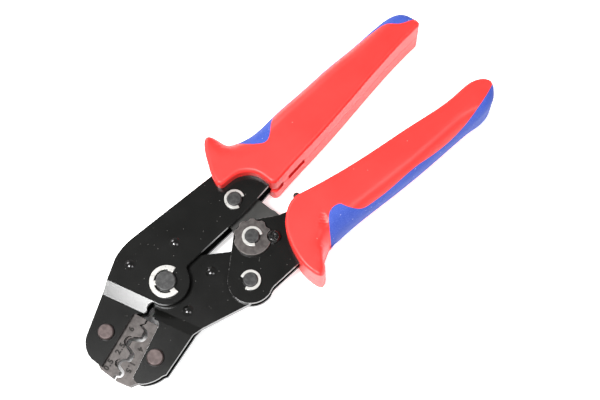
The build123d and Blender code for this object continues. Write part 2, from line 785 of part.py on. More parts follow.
def fixed_pad_region():
    with BuildSketch() as region:
        with BuildLine():
            Spline((55.5, 28.4), (57.6, 24.0), (61.5, 20.1), (65.0, 18.6), (67.8, 20.0), (71.5, 23.8), (75.5, 26.2))
            Spline((75.5, 26.2), (88.0, 27.2), (105.0, 28.3), (122.0, 28.6), (131.7, 28.2))
            Spline((131.7, 28.2), (135.3, 26.9), (138.9, 23.6), (142.6, 22.1), (147.5, 20.8))
            Polyline((147.5, 20.8), (147.5, 33.0), (55.5, 33.0), (55.5, 28.4))
        make_face()
    return region.sketch


def moving_pad_region():
    with BuildSketch() as region:
        with BuildLine():
            Spline((56.8, -31.5), (59.5, -27.5), (62.5, -23.0), (65.4, -20.0), (68.2, -19.3), (71.0, -20.4))
            Spline((71.0, -20.4), (72.8, -23.5), (75.9, -26.0), (80.5, -26.8), (92.0, -27.0), (108.0, -26.8))
            Spline((108.0, -26.8), (132.7, -25.6), (143.3, -23.0), (151.5, -19.8))
            Polyline((151.5, -19.8), (151.5, -32.0), (56.8, -32.0), (56.8, -31.5))
        make_face()
    return region.sketch


def grip_block(outline, edge_round):
    """The whole grip with its rounded edges, before the pocket and the split."""
    with BuildPart() as block:
        with BuildSketch():
            add(outline)
        extrude(amount=2 * HALF_GRIP)
        fillet(block.faces().filter_by(Axis.Z).edges(), edge_round)
    return block.part


def pocket(outline, half):
    """The room for the plates inside a grip, tight round their edges."""
    with BuildPart() as room:
        with BuildSketch(Plane.XY.offset(MID - half - POCKET_PLAY)):
            add(outline)
        extrude(amount=2 * (half + POCKET_PLAY))
    return room.part


fixed_block = grip_block(fixed_grip_outline(), FIXED_ROUND)
moving_block = grip_block(moving_grip_outline(), MOVING_ROUND)

with BuildPart() as fixed_tools:
    add(pocket(frame_outline(), FRAME_HALF))
    with Locations(at((68.75, 5.0))):
        Box(9.5, 8.0, 2 * WINDOW_HALF)
    with Locations(at(LEVER_NOTCH_AT)):
        Box(*LEVER_NOTCH, 2 * WINDOW_HALF)

with BuildPart() as moving_tools:
    add(pocket(handle_outline(), HANDLE_HALF))
    with Locations(at((61.0, -9.0))):
        Box(11.0, 8.0, 2 * WINDOW_HALF)

for side, block, tools, region in (
    ("fixed", fixed_block, fixed_tools.part, fixed_pad_region()),
    ("moving", moving_block, moving_tools.part, moving_pad_region()),
):
    with BuildPart() as cutter:
        with BuildSketch():
            add(region)
        extrude(amount=2 * HALF_GRIP)
    with BuildPart() as pad:
        add(block)
        add(tools, mode=Mode.SUBTRACT)
        add(cutter.part, mode=Mode.INTERSECT)
    finish(pad, f"{side}_grip_pad")
    for half, low in (("front", MID), ("back", 0.0)):
        with BuildPart() as shell:
            add(block)
            add(tools, mode=Mode.SUBTRACT)
            add(cutter.part, mode=Mode.SUBTRACT)
            with Locations((0, 0, low)):
                Box(2 * REACH, 2 * REACH, MID, align=(Align.CENTER, Align.CENTER, Align.MIN), mode=Mode.INTERSECT)
        finish(shell, f"{side}_grip_{half}")
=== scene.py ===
# %% [markdown]
# # Ratchet crimping pliers
# The pliers lie on their backs on a pale table: two black pressed plates on each side, brown dies in
# the nose, a wheel that sets the crimping force, and red and blue moulded grips. The mechanical model
# gives every piece's size and place. This lesson gives the pieces their rounded edges, their moulded
# shapes and their finishes, and then lights them.

import json
import math

import bmesh
import bpy
import numpy as np
from mathutils import Matrix, Vector


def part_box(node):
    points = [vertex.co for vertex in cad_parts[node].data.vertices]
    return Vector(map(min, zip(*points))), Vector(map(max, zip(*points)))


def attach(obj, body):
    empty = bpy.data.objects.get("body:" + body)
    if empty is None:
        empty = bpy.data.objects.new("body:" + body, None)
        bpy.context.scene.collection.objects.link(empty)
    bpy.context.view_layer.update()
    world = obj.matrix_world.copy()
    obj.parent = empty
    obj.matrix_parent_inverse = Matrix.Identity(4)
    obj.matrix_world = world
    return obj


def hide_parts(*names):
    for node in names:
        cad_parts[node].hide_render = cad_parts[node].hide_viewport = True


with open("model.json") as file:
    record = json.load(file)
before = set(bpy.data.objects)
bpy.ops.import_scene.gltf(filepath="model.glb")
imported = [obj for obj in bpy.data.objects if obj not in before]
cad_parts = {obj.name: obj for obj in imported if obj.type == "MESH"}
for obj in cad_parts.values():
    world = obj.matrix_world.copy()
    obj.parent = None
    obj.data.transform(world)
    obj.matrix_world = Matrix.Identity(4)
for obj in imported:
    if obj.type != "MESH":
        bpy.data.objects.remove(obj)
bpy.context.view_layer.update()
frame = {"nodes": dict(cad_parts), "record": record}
body_of = {
    node: body
    for body, nodes in frame["record"]["behaviour"]["bodies"].items()
    for node in nodes
}
slot_of = {entry["node"]: entry["material_slot"] for entry in frame["record"]["subparts"]}
MM = 0.001
low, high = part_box("fixed_grip_front")
MID = low.z
TOP = high.z
print("nodes", len(body_of), "middle plane at", round(MID / MM, 2), "mm")

# %% [markdown]
# ## Shader maths
# A finish is mostly arithmetic on noise: a mask times a strength, one minus a mask, a colour between
# two colours. Wiring each Math node by hand hides the idea. A small class wraps a socket and adds the
# node when an operator is used, so a finish reads like a formula.

# %% A socket that takes part in sums
class Term:
    def __init__(self, finish, socket):
        self.finish = finish
        self.socket = socket

    def maths(self, operation, first, second):
        return self.finish.node("ShaderNodeMath", {"operation": operation}, {0: first, 1: second})

    def __add__(self, other):
        return self.maths("ADD", self, other)

    __radd__ = __add__

    def __mul__(self, other):
        return self.maths("MULTIPLY", self, other)

    __rmul__ = __mul__

    def __sub__(self, other):
        return self.maths("SUBTRACT", self, other)

    def __rsub__(self, other):
        return self.maths("SUBTRACT", other, self)


# %% [markdown]
# Every material is made the same way: a Principled surface whose fixed values are set on its sockets,
# and a few patterns in object coordinates that vary its colour, its roughness and its bump.

# %% A finish: one material and the nodes in it
class Finish:
    def __init__(self, name, **fixed):
        self.material = bpy.data.materials.new(name)
        self.material.use_nodes = True
        self.tree = self.material.node_tree
        self.surface = self.tree.nodes["Principled BSDF"]
        for socket, value in fixed.items():
            self.surface.inputs[socket.replace("_", " ")].default_value = value

    def node(self, kind, settings=None, sockets=None, output=0):
        made = self.tree.nodes.new(kind)
        for name, value in (settings or {}).items():
            if name == "stops":
                ramp = made.color_ramp
                ramp.elements[0].position, ramp.elements[0].color = value[0]
                ramp.elements[1].position, ramp.elements[1].color = value[-1]
                for position, colour in value[1:-1]:
                    ramp.elements.new(position).color = colour
            else:
                setattr(made, name, value)
        for name, value in (sockets or {}).items():
            self.feed(made.inputs[name], value)
        return Term(self, made.outputs[output])

    def feed(self, socket, value):
        if isinstance(value, Term):
            self.tree.links.new(value.socket, socket)
        else:
            socket.default_value = value

    def place(self):
        return self.node("ShaderNodeTexCoord", output="Object")

    def noise(self, size, detail=2.0, roughness=0.5, stretch=None):
        """Cloudy noise whose blobs are about size metres across."""
        where = self.place()
        if stretch:
            where = self.node(
                "ShaderNodeMapping", {"vector_type": "POINT"}, {"Vector": where, "Scale": stretch}
            )
        return self.node(
            "ShaderNodeTexNoise",
            {"noise_dimensions": "3D"},
            {"Vector": where, "Scale": 1.0 / size, "Detail": detail, "Roughness": roughness},
        )

    def step(self, value, low, high):
        """0 below low, 1 above high, and smooth between."""
        return self.node(
            "ShaderNodeMapRange",
            {"interpolation_type": "SMOOTHSTEP"},
            {"Value": value, "From Min": low, "From Max": high},
        )

    def mix(self, share, first, second):
        return self.node(
            "ShaderNodeMix",
            {"data_type": "RGBA"},
            {"Factor": share, 6: first, 7: second},
            output=2,
        )

    def specks(self, size, share):
        """Sparse round specks, as of dust: 1 in a speck and 0 between."""
        cells = self.node(
            "ShaderNodeTexVoronoi",
            {"feature": "F1"},
            {"Vector": self.place(), "Scale": 1.0 / size, "Randomness": 1.0},
        )
        picked = self.step(self.noise(1.7 * size, 0.0), 1.0 - share, 1.02 - share)
        return self.step(cells, 0.2, 0.12) * picked

    def rim(self):
        """Rounded-edge mark: 0 on flats and folds, 1 on worn edges, 2 on the edge that carries a
        painted highlight.
        """
        return self.node("ShaderNodeAttribute", {"attribute_name": "rim"}, output="Fac")

    def bump(self, height, distance, strength=1.0):
        bumped = self.node(
            "ShaderNodeBump", sockets={"Height": height, "Distance": distance, "Strength": strength}
        )
        self.feed(self.surface.inputs["Normal"], bumped)

    def colour(self, value):
        self.feed(self.surface.inputs["Base Color"], value)

    def gloss(self, value):
        self.feed(self.surface.inputs["Roughness"], value)


def rgb(r, g, b):
    return (r, g, b, 1.0)


print("shader helpers ready")

# %% [markdown]
# ## Finishes
# The plates are pressed steel, tumbled and then blacked with a thin semi-matte coat. The coat has a
# fine orange-peel grain, catches dust and thins at the edges, where the steel shows grey.

# %% Black plates
def black_plate():
    f = Finish("black_plate", Metallic=0.0, Specular_IOR_Level=0.50)
    cloud = f.noise(9 * MM, 3.0)
    grain = f.noise(0.22 * MM, 3.0, 0.6)
    dust = f.specks(1.1 * MM, 0.30)
    painted_edge_highlight = f.step(f.rim(), 1.4, 1.9)
    thin = f.step(f.rim(), 0.1, 0.9) * f.step(f.noise(0.9 * MM, 3.0), 0.38, 0.6)
    coat = f.mix(cloud, rgb(0.004, 0.0042, 0.0037), rgb(0.0075, 0.0075, 0.007))
    coat = f.mix(thin * 0.6, coat, rgb(0.24, 0.235, 0.23))
    # Painted highlight: the edge marked 2, beside the moving die, is coloured near white for the light
    # it catches.
    coat = f.mix(painted_edge_highlight, coat, rgb(0.82, 0.82, 0.81))
    f.colour(f.mix(dust * 0.35, coat, rgb(0.22, 0.215, 0.2)))
    f.gloss(0.15 + 0.05 * cloud + 0.05 * grain - 0.03 * thin)
    f.bump(grain, 0.006 * MM, 0.35)
    return f.material


def link_steel():
    f = Finish("link_steel", Metallic=0.75, Specular_IOR_Level=0.4)
    grain = f.noise(0.5 * MM, 4.0, 0.6, stretch=(1.0, 6.0, 1.0))
    cloud = f.noise(5 * MM, 2.0)
    f.colour(f.mix(cloud * 0.6 + 0.3 * f.rim(), rgb(0.045, 0.045, 0.043), rgb(0.10, 0.10, 0.096)))
    f.gloss(0.36 + 0.14 * grain)
    f.bump(grain, 0.01 * MM, 0.6)
    return f.material


# %% [markdown]
# The clips are spring steel with bright nickel, the pins are turned from bar and left grey, and the
# dies, their pins and the wheel are oxide brown. A turned end has rings round its own centre, so its
# grain is worked out from the distance to that centre.

# %% Nickel, turned steel and brown oxide
def bright_nickel():
    f = Finish("bright_nickel", Metallic=0.55, Specular_IOR_Level=0.6)
    cloud = f.noise(1.5 * MM, 3.0)
    f.colour(f.mix(cloud, rgb(0.56, 0.55, 0.52), rgb(0.68, 0.67, 0.64)))
    f.gloss(0.22 + 0.16 * cloud)
    f.bump(f.noise(0.3 * MM, 2.0), 0.006 * MM, 0.5)
    return f.material


def turned_end(name, centre, dark, light, metallic, ring=0.35 * MM):
    """Steel turned round a centre: fine rings and uneven colour."""
    f = Finish(name, Metallic=metallic, Specular_IOR_Level=0.5)
    shifted = f.node(
        "ShaderNodeMapping", {"vector_type": "POINT"},
        {"Vector": f.place(), "Location": (-centre[0], -centre[1], 0.0), "Scale": (1.0, 1.0, 0.0)},
    )
    reach = f.node("ShaderNodeVectorMath", {"operation": "LENGTH"}, {0: shifted}, output="Value")
    wave = f.node("ShaderNodeMath", {"operation": "SINE"}, {0: reach * (math.tau / ring)})
    cloud = f.noise(1.6 * MM, 4.0, 0.6)
    worn = f.step(cloud, 0.35, 0.7)
    f.colour(f.mix(worn * 0.7 + 0.3 * f.rim(), dark, light))
    f.gloss(0.34 + 0.12 * cloud + 0.03 * wave)
    f.bump(wave * 0.4 + f.noise(0.25 * MM, 2.0), 0.008 * MM, 0.5)
    return f.material


def brown_oxide():
    f = Finish("brown_oxide", Metallic=0.55, Specular_IOR_Level=0.45)
    cloud = f.noise(2.2 * MM, 4.0, 0.65)
    grain = f.noise(0.35 * MM, 3.0, 0.6)
    tone = f.mix(f.step(cloud, 0.3, 0.7), rgb(0.048, 0.042, 0.040), rgb(0.092, 0.082, 0.078))
    f.colour(f.mix(f.rim() * 0.5, tone, rgb(0.22, 0.20, 0.19)))
    f.gloss(0.36 + 0.2 * cloud)
    f.bump(grain, 0.015 * MM, 0.7)
    return f.material


# %% [markdown]
# The grips are moulded in two plastics. The red is hard and semi-matte, with the fine spark-eroded
# texture of its mould. The blue is a soft rubber: rougher, with a speckled grain and dust.

# %% Red shells and blue inserts
def red_plastic():
    f = Finish(
        "red_plastic", Specular_IOR_Level=0.42, Subsurface_Weight=0.04, Subsurface_Scale=0.6 * MM,
        Subsurface_Radius=(1.0, 0.25, 0.2),
    )
    cloud = f.noise(14 * MM, 3.0)
    grain = f.noise(0.28 * MM, 2.0, 0.5)
    fine = f.noise(0.8 * MM, 2.0, 0.5)
    tone = f.mix(cloud, rgb(0.86, 0.026, 0.022), rgb(0.90, 0.040, 0.034))
    tone = f.mix(f.rim() * 0.35, tone, rgb(0.95, 0.16, 0.15))
    f.colour(f.mix(f.specks(1.6 * MM, 0.22) * 0.3, tone, rgb(0.95, 0.55, 0.5)))
    f.gloss(0.34 + 0.08 * fine + 0.05 * cloud)
    f.bump(grain + 0.5 * fine, 0.014 * MM, 0.55)
    return f.material


def blue_rubber():
    f = Finish("blue_rubber", Specular_IOR_Level=0.35)
    cloud = f.noise(7 * MM, 3.0)
    grain = f.noise(0.35 * MM, 4.0, 0.65)
    tone = f.mix(cloud, rgb(0.024, 0.056, 0.34), rgb(0.040, 0.085, 0.42))
    tone = f.mix(f.step(grain, 0.45, 0.75) * 0.45, tone, rgb(0.12, 0.19, 0.56))
    f.colour(f.mix(f.specks(1.3 * MM, 0.35) * 0.5, tone, rgb(0.55, 0.6, 0.8)))
    f.gloss(0.62 + 0.15 * grain)
    f.bump(grain, 0.05 * MM, 0.6)
    return f.material


# %% [markdown]
# A stamped number is a dent that keeps its black oxide, so it is nearly black and dull. The pins each
# have a finish of their own, because its rings are centred on the pin.

# %% Stamped numbers, and the table of finishes
def stamped_dark():
    f = Finish("stamped_dark", Metallic=0.2, Specular_IOR_Level=0.3)
    f.colour(f.mix(f.noise(0.4 * MM), rgb(0.008, 0.007, 0.006), rgb(0.02, 0.017, 0.015)))
    f.gloss(0.6 + 0.1 * f.noise(0.3 * MM))
    return f.material


def centre_of(node):
    a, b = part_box(node)
    return ((a.x + b.x) / 2, (a.y + b.y) / 2)


GREY = (rgb(0.040, 0.040, 0.040), rgb(0.085, 0.085, 0.084))
BROWN = (rgb(0.055, 0.040, 0.038), rgb(0.11, 0.083, 0.08))
finishes = {
    "black_plate": black_plate(),
    "dark_steel": link_steel(),
    "bright_nickel": bright_nickel(),
    "brown_oxide": brown_oxide(),
    "red_plastic": red_plastic(),
    "blue_rubber": blue_rubber(),
    "stamped_dark": stamped_dark(),
}
for pin in ("main_pin", "link_pin", "jaw_pin", "adjuster_pin"):
    finishes[pin] = turned_end(pin, centre_of(pin), *GREY, metallic=0.7)
for pin in ("die_pin_fixed", "die_pin_moving"):
    finishes[pin] = turned_end(pin, centre_of(pin), *BROWN, metallic=0.6, ring=0.5 * MM)
finishes["pin_steel"] = turned_end("pin_steel", centre_of("spring_pin"), *GREY, metallic=0.7)
print(len(finishes), "finishes")


def finish_for(node):
    return finishes.get(node) or finishes[slot_of[node]]


# %% [markdown]
# ## Rounded edges
# A pressed or turned piece never has a perfectly sharp edge: tumbling leaves a radius of a tenth or
# two of a millimetre, and that radius draws the bright line round every plate. Here each piece is a
# copy of its mechanical twin with its flat triangles joined, then beveled. The faces of the bevel get
# the attribute "rim", which the finishes read to thin the coat there. The folds of the stepped plates
# are beveled first and more widely, as a press brake bends them. Their rim value is 0, because a fold
# keeps its coat. The top edge of the moving jaw's plate beside its die gets a rim value of 2, which the
# plate finish paints near white: a painted highlight for the light that edge catches.

# %% Copy a piece and round its edges
SHARP = math.radians(34)
SMOOTH = math.radians(42)
FLAT = math.radians(0.6)
FOLD = math.radians(7)
FOLD_ROUND = 0.9 * MM
# Width of the rounded edge beside the moving die, which carries a painted highlight.
HIGHLIGHT_EDGE_ROUND = 0.42 * MM
SAME_PLACE = 0.0005 * MM
AT_THE_DIE = Vector((-0.34, 0.94, 0.0))


def joined_copy(node):
    shape = bmesh.new()
    shape.from_mesh(frame["nodes"][node].data)
    bmesh.ops.remove_doubles(shape, verts=shape.verts, dist=SAME_PLACE)
    bmesh.ops.dissolve_limit(shape, angle_limit=FLAT, verts=shape.verts, edges=shape.edges)
    return shape


def round_edges(shape, width, segments=2, chosen=None, least=SHARP, wear_and_highlight=1.0):
    rim = shape.faces.layers.float.get("rim") or shape.faces.layers.float.new("rim")
    edges = [
        e for e in shape.edges
        if e.is_manifold and e.calc_face_angle(0.0) > least and (chosen is None or chosen(e))
    ]
    made = bmesh.ops.bevel(
        shape, geom=edges, offset=width, offset_type="OFFSET", segments=segments, profile=0.5,
        affect="EDGES", material=-1, clamp_overlap=True, loop_slide=True,
    )
    for face in made["faces"]:
        face[rim] = wear_and_highlight
    return len(edges)


def is_fold(edge):
    """A bend in a pressed plate: two broad faces that both look up or both look down."""
    tilts = [face.normal.z for face in edge.link_faces]
    return min(abs(t) for t in tilts) > 0.5 and tilts[0] * tilts[1] > 0.0


def by_the_die(edge):
    """The top edge of the moving jaw's plate that runs beside its die."""
    middle = (edge.verts[0].co + edge.verts[1].co) / 2
    side = min((face.normal for face in edge.link_faces), key=lambda n: abs(n.z))
    over = middle.z > MID and middle.x < -10 * MM
    return over and abs(side.z) < 0.1 and side.dot(AT_THE_DIE) > 0.6


def as_piece(shape, name, body, material, weighted=True):
    mesh = bpy.data.meshes.new(name)
    shape.to_mesh(mesh)
    shape.free()
    mesh.materials.append(material)
    mesh.shade_smooth()
    mesh.set_sharp_from_angle(angle=SMOOTH)
    piece = bpy.data.objects.new(name, mesh)
    bpy.context.scene.collection.objects.link(piece)
    if weighted:
        steady = piece.modifiers.new("steady_normals", "WEIGHTED_NORMAL")
        steady.keep_sharp = True
        steady.weight = 80
    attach(piece, body)
    return piece


def edge_rounded(node, width, segments=2):
    shape = joined_copy(node)
    if node.startswith(("frame_plate", "jaw_plate")):
        print(node, round_edges(shape, FOLD_ROUND, 3, is_fold, FOLD, 0.0), "folds")
    # The edge beside the moving die gets rim value 2: a painted highlight, coloured near white by the
    # plate finish.
    if node == "jaw_plate_front":
        print(node, round_edges(shape, HIGHLIGHT_EDGE_ROUND, 3, by_the_die, wear_and_highlight=2.0), "bare edges")
    count = round_edges(shape, width, segments)
    piece = as_piece(shape, "round_" + node, body_of[node], finish_for(node))
    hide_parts(node)
    print(node, count, "edges,", len(piece.data.polygons), "faces")
    return piece


# %% [markdown]
# Thick plates were tumbled longest and have the largest radius. Clips are stamped from thin strip, and
# the dies are ground, so theirs are small.

# %% Edge radius of each piece, in millimetres
EDGE_WIDTH = {
    "frame_plate_front": 0.32, "frame_plate_back": 0.32,
    "handle_plate_front": 0.32, "handle_plate_back": 0.32,
    "jaw_plate_front": 0.32, "jaw_plate_back": 0.32,
    "toggle_link": 0.28, "pawl": 0.3, "adjuster_wheel": 0.25,
    "main_pin": 0.2, "link_pin": 0.18, "jaw_pin": 0.18, "adjuster_pin": 0.18,
    "main_clip": 0.14, "link_pin_clip": 0.12, "jaw_pin_clip": 0.12, "adjuster_clip": 0.12,
    "die_fixed": 0.1, "die_moving": 0.1,
    "die_pin_fixed": 0.2, "die_pin_moving": 0.2, "die_nut_fixed": 0.18, "die_nut_moving": 0.18,
    "pivot_washers": 0.12, "link_washers": 0.12,
}
for node, width in EDGE_WIDTH.items():
    edge_rounded(node, width * MM)

# %% [markdown]
# ## Moulded grips
# The mechanical shells have one small radius all round. The real grips are rounder on the side that
# lies in the palm: there the section is nearly a quarter of an ellipse. Each piece is cut into small
# cells and its height is then scaled, so that the small radius grows into the large one along the
# spine. The distance to the outline decides how far down a point goes, so the parting lines between
# red and blue follow along.

# %% The outline of a grip, seen from above
def smooth(t):
    t = np.clip(t, 0.0, 1.0)
    return t * t * (3.0 - 2.0 * t)


def outline(nodes, round_mm):
    """Plan segments where the side wall meets the top radius, in millimetres."""
    found = []
    seam = TOP / MM - round_mm
    for node in nodes:
        shape = bmesh.new()
        shape.from_mesh(frame["nodes"][node].data)
        bmesh.ops.remove_doubles(shape, verts=shape.verts, dist=SAME_PLACE)
        for edge in shape.edges:
            a, b = (v.co / MM for v in edge.verts)
            if abs(a.z - seam) < 0.004 and abs(b.z - seam) < 0.004 and edge.is_manifold:
                tilt = sorted(abs(face.normal.z) for face in edge.link_faces)
                if tilt[0] < 0.02 < tilt[1] < 0.6:
                    found.append((a.x, a.y, b.x, b.y))
        shape.free()
    return np.array(found)


def nearest(points, segments):
    """Distance from each plan point to the outline, and the nearest point on it."""
    start, end = segments[:, :2], segments[:, 2:]
    along = end - start
    length = np.maximum((along ** 2).sum(1), 1e-9)
    away = np.empty(len(points))
    where = np.empty((len(points), 2))
    for i, point in enumerate(points):
        t = np.clip(((point - start) * along).sum(1) / length, 0.0, 1.0)
        foot = start + along * t[:, None]
        gap = ((point - foot) ** 2).sum(1)
        best = int(gap.argmin())
        away[i] = math.sqrt(gap[best])
        where[i] = foot[best]
    return away, where


# %% [markdown]
# Cutting comes first, because a flat top of a few large faces can't be bent. The cells are finer across
# the grip than along it, since the section changes fastest across. Then each point is moved up or down.
# The pocket for the steel plates stays as it is: only what lies above it is scaled.

# %% Cut a grip into cells and round its spine
CELL = (1.6 * MM, 0.8 * MM)


def sliced(shape):
    bmesh.ops.triangulate(shape, faces=shape.faces)
    lows = [min(v.co[i] for v in shape.verts) for i in (0, 1)]
    highs = [max(v.co[i] for v in shape.verts) for i in (0, 1)]
    cuts = []
    for axis, step in enumerate(CELL):
        place = lows[axis] + step
        while place < highs[axis] - 0.3 * step:
            cuts.append((axis, place))
            place += step
    for axis, place in cuts:
        point = [0.0, 0.0, 0.0]
        point[axis] = place
        normal = [0.0, 0.0, 0.0]
        normal[axis] = 1.0
        bmesh.ops.bisect_plane(
            shape, geom=shape.verts[:] + shape.edges[:] + shape.faces[:], dist=0.002 * MM,
            plane_co=point, plane_no=normal,
        )


SPINE_HEIGHT = 8.2
SPINE_WIDTH = 6.0
CROWN_REACH = 9.0
WALL = 2.6


def reshape(shape, grip):
    points = np.array([(v.co.x, v.co.y) for v in shape.verts]) / MM
    high = np.array([v.co.z - MID for v in shape.verts]) / MM
    d, q = nearest(points, grip["outline"])
    w = grip["spine"](q)
    r0 = grip["round"]
    half = (TOP - MID) / MM
    old_top = half - r0 + np.sqrt(np.maximum(r0 ** 2 - np.maximum(r0 - d, 0.0) ** 2, 0.0))
    rh = r0 + (SPINE_WIDTH - r0) * w
    rv = r0 + (SPINE_HEIGHT - r0) * w
    share = np.clip((rh - d) / rh, 0.0, 1.0)
    crown = grip["crown"] * (1.0 - smooth(d / CROWN_REACH)) * w
    new_top = half - rv + rv * np.sqrt(1.0 - share ** 2) - crown
    new_top = new_top - grip["scoop"](points)
    base = grip["pocket"] * smooth(d / WALL)
    size = np.abs(high)
    new = np.where(size > base, base + (size - base) * (new_top - base) / (old_top - base), size)
    for v, z, old in zip(shape.verts, new, high):
        v.co.z = MID + math.copysign(z, old) * MM


def tip_fade(q):
    """The spine's large radius shrinks towards the tip of the grip."""
    return 1.0 - 0.55 * smooth((q[:, 0] - 130.0) / 14.0)


def no_scoop(points):
    return np.zeros(len(points))


GUARD_CREASE = np.array(
    [(59.0, -22.6), (57.8, -24.2), (54.6, -27.8), (50.9, -31.4), (47.3, -35.1), (46.2, -36.4)]
)
OUTSIDE_GUARD = np.array((0.71, -0.71))
GUARD_DROP = 3.2


def guard_scoop(points):
    """The thumb guard drops outside its crease, which runs across its tip."""
    ends = np.hstack([GUARD_CREASE[:-1], GUARD_CREASE[1:]])
    away, foot = nearest(points, ends)
    outside = ((points - foot) * OUTSIDE_GUARD).sum(1) > 0.0
    drop = np.where(outside, GUARD_DROP * smooth(away / 4.5), 0.0)
    return drop * smooth((64.0 - points[:, 0]) / 6.0)


def fixed_spine(q):
    return smooth((q[:, 1] - 18.5) / 5.0) * smooth((q[:, 0] - 48.0) / 6.0) * tip_fade(q)


def moving_spine(q):
    return smooth((-19.0 - q[:, 1]) / 5.0) * smooth((q[:, 0] - 52.0) / 6.0) * tip_fade(q)


GRIPS = {
    "fixed_grip": {
        "round": 1.5, "pocket": 5.4, "crown": 0.7, "scoop": no_scoop,
        "spine": fixed_spine,
    },
    "moving_grip": {
        "round": 1.2, "pocket": 3.6, "crown": 0.7, "scoop": guard_scoop,
        "spine": moving_spine,
    },
}
PARTING = 0.24
SEAM = 0.45


def on_middle_plane(edge):
    return all(abs(v.co.z - MID) < 0.01 * MM for v in edge.verts)


for name, grip in GRIPS.items():
    nodes = [name + end for end in ("_front", "_back", "_pad")]
    grip["outline"] = outline(nodes, grip["round"])
    print(name, len(grip["outline"]), "outline segments")
    for node in nodes:
        shape = joined_copy(node)
        round_edges(shape, SEAM * MM, chosen=on_middle_plane)
        round_edges(shape, PARTING * MM)
        sliced(shape)
        reshape(shape, grip)
        piece = as_piece(shape, "moulded_" + node, body_of[node], finish_for(node))
        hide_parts(node)
        print(node, len(piece.data.polygons), "faces")

# %% [markdown]
# ## Springs
# The springs are wound from round wire. Each one is a curve with a round section, made into a mesh: the
# return spring is a long closed coil with a hooked wire at one end and an eye at the other.

# %% Wire along a path
def taken(holder):
    """The mesh of a curve or text object, as a bmesh. The object itself isn't kept."""
    bpy.context.scene.collection.objects.link(holder)
    bpy.context.view_layer.update()
    shape = bmesh.new()
    shape.from_mesh(holder.to_mesh())
    holder.to_mesh_clear()
    bpy.data.objects.remove(holder)
    return shape


def wire(path, radius, closed=False):
    curve = bpy.data.curves.new("wire", "CURVE")
    curve.dimensions = "3D"
    curve.bevel_depth = radius * MM
    curve.bevel_resolution = 3
    curve.use_fill_caps = not closed
    line = curve.splines.new("POLY")
    line.points.add(len(path) - 1)
    for point, place in zip(line.points, path):
        point.co = (place[0] * MM, place[1] * MM, place[2] * MM, 1.0)
    line.use_cyclic_u = closed
    holder = bpy.data.objects.new("wire", curve)
    shape = taken(holder)
    bmesh.ops.recalc_face_normals(shape, faces=shape.faces)
    return shape


def coil_path(start, end, radius, pitch, height, first=90.0, per_turn=16):
    """A helix between two plan points, as millimetre points."""
    start, end = np.array(start), np.array(end)
    length = float(np.linalg.norm(end - start))
    along = (end - start) / length
    across = np.array((-along[1], along[0]))
    turns = length / pitch
    steps = int(turns * per_turn)
    path = []
    for i in range(steps + 1):
        angle = math.radians(first) + math.tau * turns * i / steps
        plan = start + along * (length * i / steps) + across * (radius * math.cos(angle))
        path.append((plan[0], plan[1], height + radius * math.sin(angle)))
    return path


def merged(*shapes):
    whole = bmesh.new()
    for shape in shapes:
        mesh = bpy.data.meshes.new("part")
        shape.to_mesh(mesh)
        whole.from_mesh(mesh)
        shape.free()
        bpy.data.meshes.remove(mesh)
    return whole


# %% [markdown]
# The return spring pulls the thrust link towards an anchor inside the fixed grip, and a small one
# centres the pawl. The hook on the thrust link keeps its mechanical shape.

# %% The two wound springs
MIDDLE = MID / MM
COIL_START, COIL_STOP, SPRING_EYE = (66.0, 9.8), (97.2, 16.32), (101.0, 17.2)
COIL_MEAN, COIL_PITCH, COIL_WIRE = 1.95, 1.02, 0.43
EYE_MEAN, EYE_STEPS = 2.6, 24
PAWL_COIL = (62.1, -14.24), (68.6, -15.62)
PAWL_MEAN, PAWL_PITCH, PAWL_WIRE = 1.05, 0.62, 0.22


def spring_piece(shape, node):
    piece = as_piece(shape, "coiled_" + node, body_of[node], finish_for(node), False)
    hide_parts(node)
    print(node, len(piece.data.polygons), "faces")


coil = wire(coil_path(COIL_START, COIL_STOP, COIL_MEAN, COIL_PITCH, MIDDLE), COIL_WIRE)
lead_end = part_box("return_spring")[0].x / MM + 0.05
lead = wire(
    [(lead_end, COIL_START[1] - 0.35, MIDDLE + 2.2), (66.2, 9.84, MIDDLE + COIL_MEAN)], COIL_WIRE
)
eye_path = []
for i in range(EYE_STEPS):
    angle = math.tau * i / EYE_STEPS
    x, y = (SPRING_EYE[0] + EYE_MEAN * math.cos(angle), SPRING_EYE[1] + EYE_MEAN * math.sin(angle))
    eye_path.append((x, y, MIDDLE))
eye = wire(eye_path, COIL_WIRE, closed=True)
spring_piece(merged(coil, lead, eye), "return_spring")
small = wire(coil_path(*PAWL_COIL, PAWL_MEAN, PAWL_PITCH, MIDDLE, per_turn=14), PAWL_WIRE)
spring_piece(small, "pawl_spring")

# %% [markdown]
# ## Marks and recesses
# The lock screw of the wheel has a cross recess. Its edges would be hard to shape by hand, so a cross
# with tapered arms is cut out of the head with a Boolean, which is worked out once and then removed.

# %% Cross recess in the lock screw
ARM_TAPER = 0.55
BURR = 0.07
CROSS_TURN = math.radians(62)


